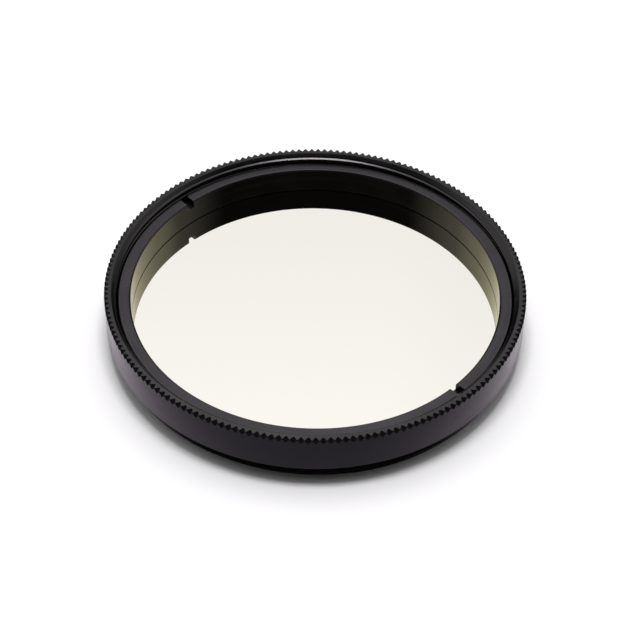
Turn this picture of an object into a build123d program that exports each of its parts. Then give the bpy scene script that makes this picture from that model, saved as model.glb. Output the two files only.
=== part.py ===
from build123d import *
import os
from math import atan2, cos, hypot, pi

# Two-inch optical bandpass filter: a turned aluminium cell, a coated glass disc and a threaded
# retaining ring. Millimetres, +Z up. The filter lies on the end of its male thread: the origin is
# on the optical axis at that end face, and the knurled rim faces up.

# Threads: the thread diameter is the one overall size, and walls and clearances follow from it
thread_diameter = 48.0
thread_depth = 0.4

# Cell, outside
shoulder_width = 1.0
band_height = 4.7
band_lower_chamfer = 0.12
male_thread_length = 2.4
male_thread_chamfer = 0.2
thread_relief_width = 0.45
thread_relief_depth = 0.45

# Cell, inside
female_entry_chamfer = 0.56
shoulder_web = 0.7
pocket_step_width = 1.0
ledge_width = 1.0
ledge_thickness = 0.82
ledge_edge_chamfer = 0.25

# Knurl: V notches cut across the rim's top corner
knurl_count = 190
knurl_inner_land = 0.1
knurl_side_reach = 0.5
knurl_tooth_land = 0.05
knurl_cutter_margin = 0.02
knurl_cutter_overrun = 0.3

# Glass disc
glass_thickness = 1.85
glass_bevel = 0.15

# Retaining ring
ring_lip_width = 0.55
ring_recess = 1.13
ring_outer_chamfer = 0.15
ring_inner_chamfer = 0.2
ring_slot_width = 1.1
ring_slot_depth = 0.95
ring_slot_azimuth = 136.0

# Clearances, radial or axial
glass_radial_clearance = 0.1
ring_thread_clearance = 0.1
ring_floor_clearance = 0.12

# Heights that follow from the sizes above
rim_z = male_thread_length + band_height
bore_floor_z = male_thread_length + shoulder_web
glass_bottom_z = ledge_thickness
glass_top_z = glass_bottom_z + glass_thickness
ring_top_z = rim_z - ring_recess
ring_flange_bottom_z = bore_floor_z + ring_floor_clearance

# Radii that follow from the sizes above, from the outside in
thread_radius = thread_diameter / 2
cell_radius = thread_radius + shoulder_width
bore_radius = thread_radius - thread_depth
ring_radius = bore_radius - ring_thread_clearance
pocket_radius = bore_radius - pocket_step_width
glass_radius = pocket_radius - glass_radial_clearance
ring_bore_radius = glass_radius - ring_lip_width
ledge_radius = glass_radius - ledge_width
rim_inner_radius = bore_radius + female_entry_chamfer
knurl_top_reach = cell_radius - rim_inner_radius - knurl_inner_land


def turned(*points):
    """Solid of revolution about Z from (radius, height) corners of its half section."""
    with BuildPart() as piece:
        with BuildSketch(Plane.XZ):
            with BuildLine():
                Polyline(*points, close=True)
            make_face()
        revolve(axis=Axis.Z)
    return piece.part


def knurl_cutter():
    """V-shaped bar that lies along the floor of one notch, at azimuth zero."""
    floor_length = hypot(knurl_top_reach, knurl_side_reach)
    corner_depth = knurl_top_reach * knurl_side_reach / floor_length
    pitch = 2 * pi * cell_radius / knurl_count
    half_width_at_corner = (pitch - knurl_tooth_land) / 2
    cutter_height = corner_depth + knurl_cutter_margin
    half_width = half_width_at_corner * cutter_height / corner_depth

    slope = atan2(knurl_side_reach, knurl_top_reach)
    start = Vector(
        cell_radius - knurl_top_reach - knurl_cutter_overrun * cos(slope),
        0,
        rim_z + knurl_cutter_overrun * knurl_side_reach / floor_length,
    )
    along_floor = Vector(knurl_top_reach, 0, -knurl_side_reach)
    section = Plane(origin=start, x_dir=(0, 1, 0), z_dir=along_floor)
    # The section's own Y axis points out of the metal where x_dir is tangential.
    outward = 1 if section.y_dir.Z > 0 else -1
    with BuildPart() as cutter:
        with BuildSketch(section):
            with BuildLine():
                Polyline(
                    (0, 0),
                    (half_width, outward * cutter_height),
                    (-half_width, outward * cutter_height),
                    close=True,
                )
            make_face()
        extrude(amount=floor_length + 2 * knurl_cutter_overrun)
    return cutter.part


def filter_cell():
    """Turned cell: band, shoulder, male thread, glass ledge and female bore, with a knurled rim."""
    relief_radius = thread_radius - thread_relief_depth
    blank = turned(
        (ledge_radius + ledge_edge_chamfer, 0),
        (thread_radius - male_thread_chamfer, 0),
        (thread_radius, male_thread_chamfer),
        (thread_radius, male_thread_length - thread_relief_width),
        (relief_radius, male_thread_length - thread_relief_width),
        (relief_radius, male_thread_length),
        (cell_radius - band_lower_chamfer, male_thread_length),
        (cell_radius, male_thread_length + band_lower_chamfer),
        (cell_radius, rim_z),
        (rim_inner_radius, rim_z),
        (bore_radius, rim_z - female_entry_chamfer),
        (bore_radius, bore_floor_z),
        (pocket_radius, bore_floor_z),
        (pocket_radius, ledge_thickness),
        (ledge_radius, ledge_thickness),
        (ledge_radius, ledge_edge_chamfer),
    )
    cutter = knurl_cutter()
    step = 360 / knurl_count
    notches = [Rot(0, 0, index * step) * cutter for index in range(knurl_count)]
    return blank - notches


def filter_glass():
    """Coated disc that lies on the ledge, with a small ground bevel on both edges."""
    return turned(
        (0, glass_bottom_z),
        (glass_radius - glass_bevel, glass_bottom_z),
        (glass_radius, glass_bottom_z + glass_bevel),
        (glass_radius, glass_top_z - glass_bevel),
        (glass_radius - glass_bevel, glass_top_z),
        (0, glass_top_z),
    )


def retaining_ring():
    """Threaded ring whose nose clamps the glass, with two spanner slots across its top face."""
    blank = turned(
        (ring_bore_radius, glass_top_z),
        (glass_radius, glass_top_z),
        (glass_radius, ring_flange_bottom_z),
        (ring_radius, ring_flange_bottom_z),
        (ring_radius, ring_top_z - ring_outer_chamfer),
        (ring_radius - ring_outer_chamfer, ring_top_z),
        (ring_bore_radius + ring_inner_chamfer, ring_top_z),
        (ring_bore_radius, ring_top_z - ring_inner_chamfer),
    )
    slot = Box(
        2 * cell_radius,
        ring_slot_width,
        ring_slot_depth,
        align=(Align.CENTER, Align.CENTER, Align.MAX),
    )
    return blank - Pos(0, 0, ring_top_z) * Rot(0, 0, ring_slot_azimuth) * slot


pieces = {
    "filter_cell": filter_cell,
    "filter_glass": filter_glass,
    "retaining_ring": retaining_ring,
}

os.makedirs("parts", exist_ok=True)
for name, make in pieces.items():
    export_step(make(), f"parts/{name}.step")
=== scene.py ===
import math

import bpy
import numpy as np
from mathutils import Matrix, Vector


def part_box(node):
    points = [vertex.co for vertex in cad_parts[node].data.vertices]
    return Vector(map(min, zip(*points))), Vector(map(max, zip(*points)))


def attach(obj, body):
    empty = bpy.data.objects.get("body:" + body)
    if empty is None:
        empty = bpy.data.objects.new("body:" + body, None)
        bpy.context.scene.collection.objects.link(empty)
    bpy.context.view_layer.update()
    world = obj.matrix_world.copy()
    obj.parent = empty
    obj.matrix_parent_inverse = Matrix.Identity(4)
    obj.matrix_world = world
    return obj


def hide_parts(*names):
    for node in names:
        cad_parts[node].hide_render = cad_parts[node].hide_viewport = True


# Optical bandpass filter lying on its male thread, knurled rim up. Metres, axis along Z.
# Sizes are in millimetres where they are multiplied by MM.

MM = 0.001
TURN = 2 * math.pi

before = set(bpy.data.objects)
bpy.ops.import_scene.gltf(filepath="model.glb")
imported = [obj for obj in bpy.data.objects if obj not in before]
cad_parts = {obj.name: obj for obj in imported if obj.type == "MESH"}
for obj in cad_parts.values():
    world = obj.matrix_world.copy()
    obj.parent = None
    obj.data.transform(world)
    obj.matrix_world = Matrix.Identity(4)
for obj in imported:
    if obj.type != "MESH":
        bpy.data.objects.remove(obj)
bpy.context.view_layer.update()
cell_low, cell_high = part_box("filter_cell")
ring_low, ring_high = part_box("retaining_ring")
glass_low, glass_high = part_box("filter_glass")

# Sizes read from the boxes of the parts in model.glb
CELL_RADIUS = cell_high.x
RIM_Z = cell_high.z
RING_RADIUS = ring_high.x
RING_TOP_Z = ring_high.z
GLASS_TOP_Z = glass_high.z
GLASS_RADIUS = glass_high.x
LEDGE_Z = glass_low.z

# Cell
THREAD_RADIUS = 24.0 * MM
BORE_RADIUS = 23.6 * MM
POCKET_RADIUS = 22.6 * MM
LEDGE_RADIUS = 21.5 * MM
RIM_INNER_RADIUS = 24.16 * MM
BORE_FLOOR_Z = 3.1 * MM
BAND_BOTTOM_Z = 2.4 * MM
BAND_CHAMFER = 0.12 * MM
RELIEF_WIDTH = 0.45 * MM
RELIEF_RADIUS = 23.55 * MM
THREAD_END_CHAMFER = 0.2 * MM
LEDGE_EDGE_CHAMFER = 0.25 * MM
FEMALE_THREAD_START_Z = 3.6 * MM
EDGE_BREAK = 0.035 * MM

# Threads. The female crest is half a pitch wide: it shows as one broad line under the chamfer.
THREAD_PITCH = 0.75 * MM
FEMALE_THREAD_DEPTH = 0.406 * MM
MALE_THREAD_DEPTH = 0.46 * MM
RING_THREAD_RADIUS = 23.9 * MM
FEMALE_CREST_SHARE = 0.5
MALE_CREST_SHARE = 0.125
FLANK_SHARE = 0.3125
THREAD_SOFTNESS = 0.03
SOFTENING_STEPS = 5
SPARE_TURNS = 2
FEMALE_THREAD_PHASE = 0.04
RING_THREAD_SHIFT = 0.5

# Knurl. A notch has its floor at column 0 and its tooth in the middle.
NOTCH_COUNT = 190
KNURL_TOP_REACH = 0.61 * MM
KNURL_SIDE_REACH = 0.57 * MM
KNURL_MARGIN = 0.06 * MM
NOTCH_COLUMNS = (0.0, 0.04, 0.17, 0.32, 0.47, 0.5, 0.53, 0.68, 0.83, 0.96)
TOOTH_EDGE_SHARE = 0.55
VALLEY_FLAT = 0.12
TOOTH_BLUNTING = 0.1
RIM_FALL = 0.005 * MM
COARSE_PER_NOTCH = 2
COARSE_COLUMNS = NOTCH_COUNT * COARSE_PER_NOTCH

# Round on the rim's inner edge: inward and downward shares of its bevel, from the face down
RIM_BEVEL = EDGE_BREAK / 2
RIM_ROUND = ((1.0, 0.1), (0.2, 0.3), (-0.6, 0.85))
RIM_ROUND_FOOT = 1.5

# Retaining ring
RING_BORE_RADIUS = 21.95 * MM
RING_FLANGE_BOTTOM_Z = 3.22 * MM
RING_TOP_EDGE_RADIUS = 23.35 * MM
RING_INNER_CHAMFER = 0.2 * MM
RING_FLANGE_CHAMFER = 0.25 * MM
NOSE_UNDERCUT_DEPTH = 0.12 * MM
NOSE_UNDERCUT_HEIGHT = 0.1 * MM
RING_THREAD_END_Z = 3.45 * MM
SLOT_WIDTH = 1.1 * MM
SLOT_DEPTH = 0.95 * MM
SLOT_AZIMUTHS = (math.radians(136), math.radians(316))

# Meshes: points this close are one, angles this close are one, sharper bends are not smoothed
SAME_PLACE = 1e-9
ANGLE_DIGITS = 9
SHARP_DEGREES = 12

# Turned finish: noise scales to the metre, depth of the marks in metres, unevenness
MARK_STREAK = 60
MARK_SCALE = 9000
BROAD_SCALE = 1600
GRAIN_SCALE = 26000
CLOUD_SCALE = 180
MARK_DEPTH = 3e-7
GRAIN_SHARE = 0.5
UNEVEN_RANGE = (0.3, 0.7)
ROUGHNESS_SPREAD = 0.05
DARK_TONE = 0.75
LIGHT_TONE = 1.3

# Faces whose middle is this close to a surface belong to it. Flanks of notches lean this much.
SURFACE_REACH = 0.02 * MM
LEVEL_SLOPE = 0.1
FLANK_SLOPE = 0.96


def circle(radius, height, angles):
    """A row of points round the axis. Radius and height are numbers or one value an angle."""
    rise = np.broadcast_to(height, angles.shape)
    return np.column_stack([radius * np.cos(angles), radius * np.sin(angles), rise])


class Turned:
    """A closed mesh of rows of points round the axis. Points at one place become one at the end."""

    def __init__(self):
        self.points = []
        self.faces = []
        self.count = 0

    def row(self, points):
        """Adds a row and returns its point numbers, the first one again at the end."""
        ids = np.arange(self.count, self.count + len(points))
        self.points.append(points)
        self.count += len(points)
        return np.append(ids, ids[0])

    def helix(self, rows, rows_per_turn):
        """Adds rows that each close on the row one turn further on, and returns their numbers."""
        added = [self.row(points) for points in rows]
        last = len(added) - 1
        starts = [ids[0] for ids in added]
        for index, ids in enumerate(added):
            ids[-1] = starts[min(index + rows_per_turn, last)]
        return added

    def bridge(self, one, two, skip=()):
        """Joins two rows of equal count by quads, apart from the gaps after the columns in skip."""
        quads = np.column_stack([one[:-1], one[1:], two[1:], two[:-1]])
        if skip:
            quads = np.delete(quads, list(skip), axis=0)
        self.faces.extend(quads.tolist())

    def bridge_all(self, rows, skip=()):
        """Joins rows that run up the inside, over the top and down the outside, and closes them."""
        for one, two in zip(rows, rows[1:] + rows[:1]):
            self.bridge(two, one, skip)

    def fan(self, coarse, fine, fine_first=False):
        """Joins a coarse row to a finer one whose count is a multiple of it."""
        share = (len(fine) - 1) // (len(coarse) - 1)
        for index in range(len(coarse) - 1):
            edge = fine[index * share : (index + 1) * share + 1][::-1]
            face = [coarse[index], coarse[index + 1], *edge.tolist()]
            self.faces.append(face[::-1] if fine_first else face)

    def joined(self):
        """Points and faces with equal points joined and empty faces dropped."""
        points = np.vstack(self.points)
        keys = np.round(points / SAME_PLACE).astype(np.int64)
        _, first, place = np.unique(keys, axis=0, return_index=True, return_inverse=True)
        place = place.ravel()
        faces = []
        seen = set()
        for face in self.faces:
            loop = [int(place[i]) for i in face]
            loop = [v for v, before in zip(loop, loop[-1:] + loop[:-1]) if v != before]
            key = frozenset(loop)
            if len(key) > 2 and len(key) == len(loop) and key not in seen:
                seen.add(key)
                faces.append(loop)
        return points[first], faces


def made_object(name, points, faces):
    """A Blender object from points and faces, smooth but for its sharp edges."""
    mesh = bpy.data.meshes.new(name)
    mesh.from_pydata(points.tolist(), [], faces)
    mesh.validate()
    mesh.update()
    mesh.shade_smooth()
    mesh.set_sharp_from_angle(angle=math.radians(SHARP_DEGREES))
    made = bpy.data.objects.new(name, mesh)
    bpy.context.scene.collection.objects.link(made)
    return made


def thread_height(phase, crest_share):
    """Height of a thread's section, 0 at the root and 1 at the crest, with its corners eased."""
    half_crest = crest_share / 2

    def sharp(p):
        away = np.abs(p - np.round(p))
        return np.clip(1 - (away - half_crest) / FLANK_SHARE, 0, 1)

    shifts = np.linspace(-THREAD_SOFTNESS, THREAD_SOFTNESS, SOFTENING_STEPS)
    return np.mean([sharp(phase + shift) for shift in shifts], axis=0)


def thread_phases(crest_share):
    """Places in one pitch where a thread needs a row: each side of its four corners."""
    corners = (crest_share / 2, crest_share / 2 + FLANK_SHARE)
    half = [c + side for c in corners for side in (-THREAD_SOFTNESS, THREAD_SOFTNESS)]
    return sorted([p % 1 for p in half] + [-p % 1 for p in half])


def thread_rows(low, high, crest_share, angles, radius_at, start=0.0, top_of_column=None):
    """Rows along a right-hand helix, from low to high. Spare turns lie flat on both ends."""
    phases = [phase + start for phase in thread_phases(crest_share)]
    turns = math.ceil((high - low) / THREAD_PITCH) + 2 * SPARE_TURNS
    first_turn = math.floor(low / THREAD_PITCH) - SPARE_TURNS
    ceiling = high if top_of_column is None else np.minimum(high, top_of_column)
    rows = []
    for turn in range(turns):
        for phase in phases:
            height = THREAD_PITCH * (first_turn + turn + phase + angles / TURN)
            height = np.clip(height, low, ceiling)
            rows.append((height, radius_at(height, height / THREAD_PITCH - angles / TURN)))
    return rows, len(phases)


def eased(points, reach):
    """Half section points with each corner replaced by a three-point round of the given reach."""
    done = []
    for index, (r, z) in enumerate(points):
        before = Vector(points[index - 1])
        after = Vector(points[(index + 1) % len(points)])
        here = Vector((r, z))
        back = min(reach, (before - here).length / 3)
        on = min(reach, (after - here).length / 3)
        one = here + (before - here).normalized() * back
        two = here + (after - here).normalized() * on
        middle = (one + two) / 4 + here / 2
        done += [tuple(one), tuple(middle), tuple(two)]
    return done


def rim_height(radius):
    """The rim's face falls slightly towards the tooth tips."""
    share = (radius - RIM_INNER_RADIUS) / (CELL_RADIUS - RIM_INNER_RADIUS)
    return RIM_Z - RIM_FALL * share


def knurl_rows(angles, shares):
    """Rows over the knurled corner, from the band up and inwards over the tooth tips."""
    corner_z = rim_height(CELL_RADIUS)
    side_reach = KNURL_SIDE_REACH - (RIM_Z - corner_z)
    cut = 1 - np.clip(shares, VALLEY_FLAT, 1 - TOOTH_BLUNTING)
    on_top = CELL_RADIUS - KNURL_TOP_REACH * cut
    plain_top = CELL_RADIUS - KNURL_TOP_REACH - KNURL_MARGIN / 2
    return [
        circle(CELL_RADIUS, corner_z - side_reach - KNURL_MARGIN, angles),
        circle(CELL_RADIUS, corner_z - side_reach * cut, angles),
        circle(on_top, rim_height(on_top), angles),
        circle(plain_top, rim_height(plain_top), angles),
    ]


def cell_mesh():
    """The cell: knurled rim, band, both threads, relief, glass ledge and bore."""
    angles = np.arange(COARSE_COLUMNS) * TURN / COARSE_COLUMNS
    places = np.array(NOTCH_COLUMNS)
    fine_angles = ((np.arange(NOTCH_COUNT)[:, None] + places) * TURN / NOTCH_COUNT).ravel()
    shares = np.tile(np.minimum(places, 1 - places) / TOOTH_EDGE_SHARE, NOTCH_COUNT)

    def male_radius(height, phase):
        full = THREAD_RADIUS - MALE_THREAD_DEPTH * (1 - thread_height(phase, MALE_CREST_SHARE))
        return np.minimum(full, THREAD_RADIUS - THREAD_END_CHAMFER + height)

    def female_radius(height, phase):
        lift = thread_height(phase - FEMALE_THREAD_PHASE, FEMALE_CREST_SHARE)
        cut = FEMALE_THREAD_DEPTH * (1 - lift)
        return np.maximum(BORE_RADIUS + cut, RIM_INNER_RADIUS - (RIM_Z - height))

    shell = Turned()
    inside = eased(
        [
            (BORE_RADIUS, BORE_FLOOR_Z),
            (POCKET_RADIUS, BORE_FLOOR_Z),
            (POCKET_RADIUS, LEDGE_Z),
            (LEDGE_RADIUS, LEDGE_Z),
            (LEDGE_RADIUS, LEDGE_EDGE_CHAMFER),
            (LEDGE_RADIUS + LEDGE_EDGE_CHAMFER, 0),
        ],
        EDGE_BREAK,
    )
    end_face = [(LEDGE_RADIUS + LEDGE_EDGE_CHAMFER * 2, 0)]
    thread_top = BAND_BOTTOM_Z - RELIEF_WIDTH
    # The first and last corners only give directions: the rows beside them close the band.
    band = eased(
        [
            (RELIEF_RADIUS, thread_top),
            (RELIEF_RADIUS, BAND_BOTTOM_Z),
            (CELL_RADIUS - BAND_CHAMFER, BAND_BOTTOM_Z),
            (CELL_RADIUS, BAND_BOTTOM_Z + BAND_CHAMFER),
            (CELL_RADIUS, RIM_Z - KNURL_SIDE_REACH * 1.5),
        ],
        EDGE_BREAK,
    )[1:-2]
    rim_round = [
        (RIM_INNER_RADIUS + RIM_BEVEL * outward, RIM_Z - RIM_BEVEL * down)
        for outward, down in RIM_ROUND
    ]
    thread_high = RIM_Z - RIM_BEVEL * RIM_ROUND_FOOT

    female, female_turn = thread_rows(
        FEMALE_THREAD_START_Z,
        thread_high,
        FEMALE_CREST_SHARE,
        angles,
        female_radius,
        FEMALE_THREAD_PHASE,
    )
    male, male_turn = thread_rows(0.0, thread_top, MALE_CREST_SHARE, angles, male_radius)

    rows = [shell.row(circle(r, z, angles)) for r, z in inside + end_face]
    rows += shell.helix([circle(r, z, angles) for z, r in male], male_turn)
    rows += [shell.row(circle(r, z, angles)) for r, z in band]
    fine = [shell.row(points) for points in knurl_rows(fine_angles, shares)]
    rim = [shell.row(circle(r, z, angles)) for r, z in rim_round]
    rim += shell.helix([circle(r, z, angles) for z, r in female], female_turn)[::-1]
    foot = shell.row(circle(BORE_RADIUS, FEMALE_THREAD_START_Z - EDGE_BREAK, angles))

    for one, two in zip(rows, rows[1:]):
        shell.bridge(one, two)
    shell.fan(rows[-1], fine[0])
    for one, two in zip(fine, fine[1:]):
        shell.bridge(one, two)
    shell.fan(rim[0], fine[-1], fine_first=True)
    for one, two in zip(rim, rim[1:] + [foot]):
        shell.bridge(one, two)
    shell.bridge(foot, rows[0])
    return shell.joined()


def ring_columns():
    """Angle, sideways offset from the slot's middle, slot azimuth and cut flag of each column."""
    half = SLOT_WIDTH / 2
    in_slot = [(-half, 0), (-half, 1), (-half / 3, 1), (half / 3, 1), (half, 1), (half, 0)]
    step = TURN / COARSE_COLUMNS
    margin = half / RING_BORE_RADIUS + step / 3
    columns = []
    for index in range(COARSE_COLUMNS):
        angle = index * step
        gaps = [abs((angle - slot + math.pi) % TURN - math.pi) for slot in SLOT_AZIMUTHS]
        if min(gaps) > margin:
            columns.append((angle, 0.0, 0.0, 0, 0))
    for slot in SLOT_AZIMUTHS:
        for offset, cut in in_slot:
            columns.append((slot + offset / RING_RADIUS, offset, slot, cut, 1))
    columns.sort(key=lambda c: (round(c[0], ANGLE_DIGITS), c[3] if c[1] < 0 else -c[3]))
    return [np.array(values) for values in zip(*columns)]


def ring_mesh():
    """The retaining ring: nose, threaded flange, chamfers and two spanner slots."""
    angles, offsets, slots, cut, slotted = ring_columns()
    floor_z = RING_TOP_Z - SLOT_DEPTH
    top_of_column = np.where(cut == 1, floor_z, np.inf)

    def place(radius, height):
        radius = np.broadcast_to(radius, angles.shape)
        height = np.minimum(np.broadcast_to(height, angles.shape), top_of_column)
        along = np.sqrt(radius**2 - offsets**2)
        x = np.where(
            slotted == 1,
            along * np.cos(slots) - offsets * np.sin(slots),
            radius * np.cos(angles),
        )
        y = np.where(
            slotted == 1,
            along * np.sin(slots) + offsets * np.cos(slots),
            radius * np.sin(angles),
        )
        return np.column_stack([x, y, height])

    def thread_radius(height, phase):
        lift = thread_height(phase - FEMALE_THREAD_PHASE + RING_THREAD_SHIFT, MALE_CREST_SHARE)
        full = RING_THREAD_RADIUS - MALE_THREAD_DEPTH * (1 - lift)
        return np.minimum(full, RING_TOP_EDGE_RADIUS + (RING_TOP_Z - height))

    inner = [
        (RING_BORE_RADIUS + NOSE_UNDERCUT_DEPTH, GLASS_TOP_Z),
        (RING_BORE_RADIUS + NOSE_UNDERCUT_DEPTH, GLASS_TOP_Z + NOSE_UNDERCUT_HEIGHT),
        (RING_BORE_RADIUS, GLASS_TOP_Z + NOSE_UNDERCUT_HEIGHT),
        (RING_BORE_RADIUS, floor_z),
        (RING_BORE_RADIUS, RING_TOP_Z - RING_INNER_CHAMFER),
        (RING_BORE_RADIUS + EDGE_BREAK / 2, RING_TOP_Z - RING_INNER_CHAMFER + EDGE_BREAK),
        (RING_BORE_RADIUS + RING_INNER_CHAMFER - EDGE_BREAK / 2, RING_TOP_Z - EDGE_BREAK / 3),
        (RING_BORE_RADIUS + RING_INNER_CHAMFER + EDGE_BREAK, RING_TOP_Z),
        (RING_TOP_EDGE_RADIUS - EDGE_BREAK, RING_TOP_Z),
        (RING_TOP_EDGE_RADIUS - EDGE_BREAK / 4, RING_TOP_Z - EDGE_BREAK / 5),
    ]
    outer = [
        (RING_RADIUS - RING_FLANGE_CHAMFER, RING_FLANGE_BOTTOM_Z),
        (GLASS_RADIUS, RING_FLANGE_BOTTOM_Z),
        (GLASS_RADIUS, GLASS_TOP_Z + NOSE_UNDERCUT_HEIGHT),
        (GLASS_RADIUS - NOSE_UNDERCUT_HEIGHT, GLASS_TOP_Z),
    ]
    shell = Turned()
    rows = [shell.row(place(r, z)) for r, z in inner]
    thread, turn = thread_rows(
        RING_THREAD_END_Z,
        RING_TOP_Z - EDGE_BREAK,
        MALE_CREST_SHARE,
        angles,
        thread_radius,
        FEMALE_THREAD_PHASE - RING_THREAD_SHIFT,
        top_of_column,
    )
    rows += shell.helix([place(r, z) for z, r in thread], turn)[::-1]
    rows += [shell.row(place(r, z)) for r, z in outer]
    walls = [i for i in range(len(cut)) if cut[i] != cut[(i + 1) % len(cut)]]
    shell.bridge_all(rows, skip=walls)
    points = np.vstack(shell.points)
    for column in walls:
        one = [row[column] for row in rows]
        two = [row[column + 1] for row in rows]
        gaps = np.abs(points[one] - points[two]).max(axis=1)
        apart = np.flatnonzero(gaps > SAME_PLACE)
        first, last = apart[0], apart[-1]
        loop = one[first - 1 : last + 2] + two[first : last + 1][::-1]
        shell.faces.append([int(i) for i in loop])
    return shell.joined()


class Nodes:
    """Short forms for building a node tree."""

    def __init__(self, tree):
        self.tree = tree
        self.tree.nodes.clear()

    def add(self, kind, **settings):
        node = self.tree.nodes.new(kind)
        for name, value in settings.items():
            setattr(node, name, value)
        return node

    def link(self, source, target):
        self.tree.links.new(source, target)

    def math(self, operation, one, two=None):
        """A sum on sockets or plain numbers."""
        node = self.add("ShaderNodeMath", operation=operation)
        for socket, value in zip(node.inputs, (one, two)):
            if value is None:
                continue
            if isinstance(value, (int, float)):
                socket.default_value = value
            else:
                self.link(value, socket)
        return node.outputs[0]

    def ramp(self, value, low, high, start=0.0, end=1.0):
        """Goes smoothly from start to end while value goes from low to high."""
        node = self.add("ShaderNodeMapRange", interpolation_type="SMOOTHSTEP")
        self.link(value, node.inputs["Value"])
        node.inputs["From Min"].default_value = low
        node.inputs["From Max"].default_value = high
        node.inputs["To Min"].default_value = start
        node.inputs["To Max"].default_value = end
        return node.outputs["Result"]

    def noise(self, vector, scale, detail):
        node = self.add("ShaderNodeTexNoise")
        node.inputs["Scale"].default_value = scale
        node.inputs["Detail"].default_value = detail
        self.link(vector, node.inputs["Vector"])
        return node.outputs["Fac"]

    def bump(self, height, distance, before=None):
        node = self.add("ShaderNodeBump")
        node.inputs["Distance"].default_value = distance
        self.link(height, node.inputs["Height"])
        if before is not None:
            self.link(before, node.inputs["Normal"])
        return node.outputs["Normal"]


def turned_coordinates(nodes):
    """Coordinates stretched along the tool's path round the axis, and plain ones, in metres."""
    place = nodes.add("ShaderNodeTexCoord")
    split = nodes.add("ShaderNodeSeparateXYZ")
    nodes.link(place.outputs["Object"], split.inputs[0])
    x, y, z = split.outputs
    squares = nodes.math("ADD", nodes.math("MULTIPLY", x, x), nodes.math("MULTIPLY", y, y))
    radius = nodes.math("SQRT", squares)
    angle = nodes.math("ARCTAN2", y, x)
    around = nodes.math("MULTIPLY", angle, CELL_RADIUS / MARK_STREAK)
    join = nodes.add("ShaderNodeCombineXYZ")
    nodes.link(radius, join.inputs[0])
    nodes.link(around, join.inputs[1])
    nodes.link(z, join.inputs[2])
    return join.outputs[0], place.outputs["Object"]


def anodised(name, colour, specular_tint, roughness, mark_depth=MARK_DEPTH, metallic=1.0):
    """Black anodised aluminium: an etched grain over fine turning marks."""
    material = bpy.data.materials.new(name)
    material.use_nodes = True
    nodes = Nodes(material.node_tree)
    turned, flat = turned_coordinates(nodes)
    marks = nodes.noise(turned, MARK_SCALE, detail=3)
    broad = nodes.noise(turned, BROAD_SCALE, detail=2)
    grain = nodes.noise(flat, GRAIN_SCALE, detail=2)
    cloud = nodes.noise(flat, CLOUD_SCALE, detail=3)

    shader = nodes.add("ShaderNodeBsdfPrincipled")
    shader.inputs["Metallic"].default_value = metallic
    shader.inputs["Specular Tint"].default_value = (*specular_tint, 1)

    half_broad = nodes.math("MULTIPLY", broad, 0.5)
    half_cloud = nodes.math("MULTIPLY", cloud, 0.5)
    uneven = nodes.math("ADD", half_broad, half_cloud)
    spread = (roughness - ROUGHNESS_SPREAD, roughness + ROUGHNESS_SPREAD)
    nodes.link(nodes.ramp(uneven, *UNEVEN_RANGE, *spread), shader.inputs["Roughness"])
    blend = nodes.add("ShaderNodeMix", data_type="RGBA")
    blend.inputs["A"].default_value = (*[c * DARK_TONE for c in colour], 1)
    blend.inputs["B"].default_value = (*[c * LIGHT_TONE for c in colour], 1)
    nodes.link(uneven, blend.inputs["Factor"])
    nodes.link(blend.outputs["Result"], shader.inputs["Base Color"])
    normal = nodes.bump(marks, mark_depth)
    normal = nodes.bump(grain, mark_depth * GRAIN_SHARE, normal)
    nodes.link(normal, shader.inputs["Normal"])

    output = nodes.add("ShaderNodeOutputMaterial")
    nodes.link(shader.outputs[0], output.inputs["Surface"])
    return material


def mirror_coating():
    """Coating on the glass: a mirror with a faint cream tint that deepens at a slant."""
    straight_tint = (0.945, 0.93, 0.882, 1)
    slanted_tint = (0.94, 0.912, 0.845, 1)
    drift_scale = 45
    haze_scale = 900
    drift_share = (0.2, 0.8, 0.8, 1.2)
    haze_roughness = (0.3, 0.8, 0.012, 0.03)
    material = bpy.data.materials.new("mirror_coating")
    material.use_nodes = True
    nodes = Nodes(material.node_tree)
    place = nodes.add("ShaderNodeTexCoord")
    drift = nodes.noise(place.outputs["Object"], drift_scale, detail=2)
    haze = nodes.noise(place.outputs["Object"], haze_scale, detail=4)
    slant = nodes.add("ShaderNodeLayerWeight")
    slant.inputs["Blend"].default_value = 0.5

    tint = nodes.add("ShaderNodeMix", data_type="RGBA")
    tint.inputs["A"].default_value = straight_tint
    tint.inputs["B"].default_value = slanted_tint
    drifting = nodes.ramp(drift, *drift_share)
    amount = nodes.math("MULTIPLY", slant.outputs["Facing"], drifting)
    nodes.link(amount, tint.inputs["Factor"])

    shader = nodes.add("ShaderNodeBsdfPrincipled")
    shader.inputs["Metallic"].default_value = 1.0
    nodes.link(tint.outputs["Result"], shader.inputs["Base Color"])
    nodes.link(nodes.ramp(haze, *haze_roughness), shader.inputs["Roughness"])
    output = nodes.add("ShaderNodeOutputMaterial")
    nodes.link(shader.outputs[0], output.inputs["Surface"])
    return material


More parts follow.
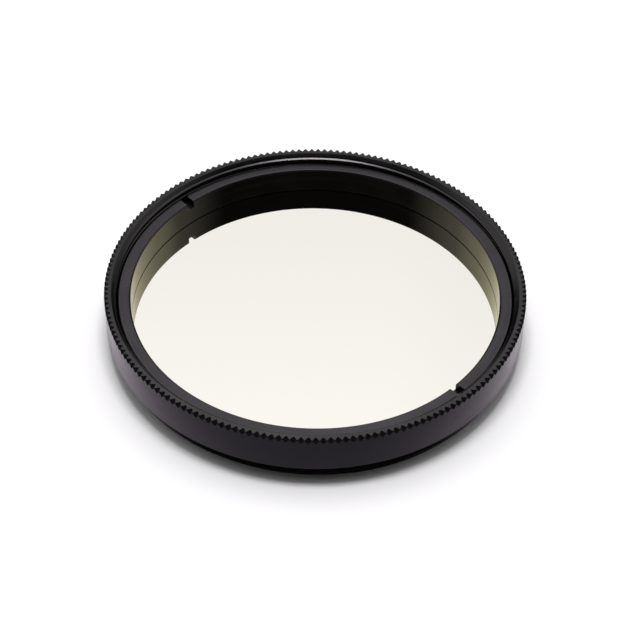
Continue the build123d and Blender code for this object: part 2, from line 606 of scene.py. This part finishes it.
def floor_paper():
    """Matt white paper with a faint tooth, that the camera sees run out to plain white."""
    paper_white = (0.93, 0.918, 0.938, 1)
    tooth_scale = 2500
    tooth_depth = 2e-6
    fade_start = 1.8 * CELL_RADIUS
    fade_end = 4.5 * CELL_RADIUS
    material = bpy.data.materials.new("floor_paper")
    material.use_nodes = True
    nodes = Nodes(material.node_tree)
    place = nodes.add("ShaderNodeTexCoord")
    tooth = nodes.noise(place.outputs["Object"], tooth_scale, detail=3)
    shader = nodes.add("ShaderNodeBsdfPrincipled")
    shader.inputs["Base Color"].default_value = paper_white
    shader.inputs["Roughness"].default_value = 0.9
    shader.inputs["Specular IOR Level"].default_value = 0.1
    nodes.link(nodes.bump(tooth, tooth_depth), shader.inputs["Normal"])

    reach = nodes.add("ShaderNodeVectorMath", operation="LENGTH")
    nodes.link(place.outputs["Object"], reach.inputs[0])
    far = nodes.ramp(reach.outputs["Value"], fade_start, fade_end)
    seen = nodes.add("ShaderNodeLightPath")
    white = nodes.add("ShaderNodeEmission")
    white.inputs["Color"].default_value = (1, 1, 1, 1)
    choose = nodes.add("ShaderNodeMixShader")
    nodes.link(nodes.math("MULTIPLY", far, seen.outputs["Is Camera Ray"]), choose.inputs[0])
    nodes.link(shader.outputs[0], choose.inputs[1])
    nodes.link(white.outputs[0], choose.inputs[2])
    output = nodes.add("ShaderNodeOutputMaterial")
    nodes.link(choose.outputs[0], output.inputs["Surface"])
    return material


def add_floor():
    """A square of paper under the object."""
    half = 3.0
    corners = [(-half, -half, 0), (half, -half, 0), (half, half, 0), (-half, half, 0)]
    mesh = bpy.data.meshes.new("floor")
    mesh.from_pydata(corners, [], [(0, 1, 2, 3)])
    floor = bpy.data.objects.new("floor", mesh)
    bpy.context.scene.collection.objects.link(floor)
    mesh.materials.append(floor_paper())


def studio_world():
    """White studio: bright above and behind the object, dark on the camera's side."""
    # For each light, where it begins and is full along a part of the direction, and its strengths
    lean_back, lean_up = 0.6, 0.8
    away_edges = (0.46, 0.72)
    raised_edges = (0.42, 0.64)
    zenith = (0.62, 0.8, 0.9, 1.05)
    right_of_middle = (0.03, 0.09, 1.0, 0.965)
    side_walls = (0.45, 0.85, 0.0, 0.85)
    weaker_right = (0.1, 0.4, 1.0, 0.72)
    beside_edges = (-0.5, 0.15)
    back_wall = (0.2, 0.6, 0.0, 0.2)
    horizon_edges = (0.02, 0.15)
    least_light = 0.04
    world = bpy.data.worlds.new("studio")
    bpy.context.scene.world = world
    world.use_nodes = True
    nodes = Nodes(world.node_tree)
    place = nodes.add("ShaderNodeTexCoord")
    split = nodes.add("ShaderNodeSeparateXYZ")
    nodes.link(place.outputs["Generated"], split.inputs[0])
    x, y, z = split.outputs
    back_part = nodes.math("MULTIPLY", y, lean_back)
    up_part = nodes.math("MULTIPLY", z, lean_up)
    lean = nodes.math("ADD", back_part, up_part)
    away = nodes.ramp(lean, *away_edges)
    raised = nodes.ramp(z, *raised_edges)
    climb = nodes.ramp(z, *zenith)
    shaded = nodes.math("MULTIPLY", climb, nodes.ramp(x, *right_of_middle))
    lit = nodes.math("MULTIPLY", nodes.math("MULTIPLY", away, raised), shaded)
    side = nodes.ramp(nodes.math("ABSOLUTE", x), *side_walls)
    side = nodes.math("MULTIPLY", side, nodes.ramp(x, *weaker_right))
    beside = nodes.math("MULTIPLY", side, nodes.ramp(y, *beside_edges))
    behind = nodes.ramp(y, *back_wall)
    around = nodes.math("MAXIMUM", beside, behind)
    low = nodes.math("MULTIPLY", around, nodes.ramp(z, *horizon_edges))
    strength = nodes.math("MAXIMUM", nodes.math("MAXIMUM", lit, low), least_light)

    seen = nodes.add("ShaderNodeLightPath")
    light = nodes.add("ShaderNodeBackground")
    light.inputs["Color"].default_value = (1.0, 0.995, 0.985, 1)
    nodes.link(strength, light.inputs["Strength"])
    white = nodes.add("ShaderNodeBackground")
    white.inputs["Color"].default_value = (1, 1, 1, 1)
    choose = nodes.add("ShaderNodeMixShader")
    nodes.link(seen.outputs["Is Camera Ray"], choose.inputs[0])
    nodes.link(light.outputs[0], choose.inputs[1])
    nodes.link(white.outputs[0], choose.inputs[2])
    output = nodes.add("ShaderNodeOutputWorld")
    nodes.link(choose.outputs[0], output.inputs["Surface"])


def add_softbox(name, place, width, depth, power):
    """A rectangular lamp, sizes in metres and power in watts, that faces the object."""
    data = bpy.data.lights.new(name, "AREA")
    data.shape = "RECTANGLE"
    data.size = width
    data.size_y = depth
    data.energy = power
    light = bpy.data.objects.new(name, data)
    light.location = place
    aim = Vector((0, 0, 0)) - Vector(place)
    light.rotation_euler = aim.to_track_quat("-Z", "Y").to_euler()
    bpy.context.scene.collection.objects.link(light)


def add_camera():
    """Camera at the photograph's viewing angle, by its distance, angle and small roll."""
    elevation = math.radians(44.74)
    roll = math.radians(-1.03)
    focal_pixels = 1882
    image_pixels = 640
    aside, raised, distance = -0.541 * MM, 4.370 * MM, 223.22 * MM

    ahead = Vector((0, math.cos(elevation), -math.sin(elevation)))
    upright = Vector((0, math.sin(elevation), math.cos(elevation)))
    side = Vector((1, 0, 0))
    right = math.cos(roll) * side - math.sin(roll) * upright
    up = math.sin(roll) * side + math.cos(roll) * upright
    place = Vector((0, 0, RIM_Z)) - (aside * right + raised * up + distance * ahead)

    data = bpy.data.cameras.new("camera")
    data.sensor_width = 36
    data.lens = focal_pixels / image_pixels * data.sensor_width
    data.clip_start = 0.01
    data.clip_end = 10
    camera = bpy.data.objects.new("camera", data)
    turn = Matrix((right, up, -ahead)).transposed()
    camera.matrix_world = Matrix.Translation(place) @ turn.to_4x4()
    bpy.context.scene.collection.objects.link(camera)
    bpy.context.scene.camera = camera


def paint_wall_reflection(made, wall_reflection_material, radius, low, high):
    """Gives the faces of the bore wall at this radius their own material: an olive, glossier copy
    of the ring's finish, a painted reflection of the light the glass throws onto the wall.
    """
    made.data.materials.append(wall_reflection_material)
    for face in made.data.polygons:
        centre = face.center
        near = abs(math.hypot(centre.x, centre.y) - radius) < SURFACE_REACH
        if near and low < centre.z < high:
            face.material_index = 1


def paint_outside_shade(made, band_shade_material, notch_shade_material):
    """Gives the band a darker copy of the cell's finish, a painted shade on its upright sides, and
    the flanks of the notches a near-black matt finish, a painted shade inside the notches.
    """
    made.data.materials.append(band_shade_material)
    made.data.materials.append(notch_shade_material)
    for face in made.data.polygons:
        centre = face.center
        radius = math.hypot(centre.x, centre.y)
        on_band = radius > CELL_RADIUS - SURFACE_REACH and abs(face.normal.z) < LEVEL_SLOPE
        in_knurl = radius > CELL_RADIUS - KNURL_TOP_REACH and centre.z > RIM_Z - KNURL_SIDE_REACH
        if on_band:
            face.material_index = 1
        # Flanks of the notches: painted shade.
        elif in_knurl and LEVEL_SLOPE < face.normal.z < FLANK_SLOPE:
            face.material_index = 2


cell_finish = anodised(
    "anodised_cell",
    colour=(0.045, 0.0428, 0.045),
    specular_tint=(1.0, 0.97, 1.0),
    roughness=0.26,
)
# Painted shade: the band is a darker copy of the cell's anodised finish, standing in for the shade
# on its upright sides.
band_shade_finish = anodised(
    "band_painted_shade",
    colour=(0.0128, 0.0113, 0.0142),
    specular_tint=(1.0, 0.95, 1.0),
    roughness=0.24,
)
# Painted shade: the flanks of the notches get a near-black matt finish, standing in for the shade
# inside the notches.
notch_shade_finish = anodised(
    "notch_painted_shade",
    colour=(0.0045, 0.0042, 0.0048),
    specular_tint=(0.1, 0.1, 0.1),
    roughness=0.6,
    metallic=0.0,
)
ring_finish = anodised(
    "anodised_ring",
    colour=(0.052, 0.0485, 0.053),
    specular_tint=(1.0, 0.96, 1.0),
    roughness=0.26,
)
# Painted reflection: the ring's bore wall gets an olive tint and more gloss, standing in for light
# thrown back from the glass.
wall_painted_reflection = anodised(
    "ring_wall_painted_reflection",
    colour=(0.056, 0.0545, 0.046),
    specular_tint=(1.0, 0.975, 0.8),
    roughness=0.1,
    mark_depth=4e-8,
)

cell = made_object("cell", *cell_mesh())
cell.data.materials.append(cell_finish)
paint_outside_shade(cell, band_shade_finish, notch_shade_finish)
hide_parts("filter_cell")
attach(cell, "root")

ring = made_object("slotted_ring", *ring_mesh())
ring.data.materials.append(ring_finish)
paint_wall_reflection(ring, wall_painted_reflection, RING_BORE_RADIUS, GLASS_TOP_Z, RING_TOP_Z - RING_INNER_CHAMFER)
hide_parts("retaining_ring")
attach(ring, "root")

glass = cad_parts["filter_glass"]
glass.data.materials.clear()
glass.data.materials.append(mirror_coating())

add_floor()
studio_world()
add_softbox("overhead_softbox", place=(0, -0.003, 0.4), width=0.13, depth=0.055, power=0.9)
add_softbox("back_softbox", place=(0, 0.14, 0.38), width=0.3, depth=0.2, power=0.26)
add_camera()

scene = bpy.context.scene
scene.view_settings.view_transform = "Standard"
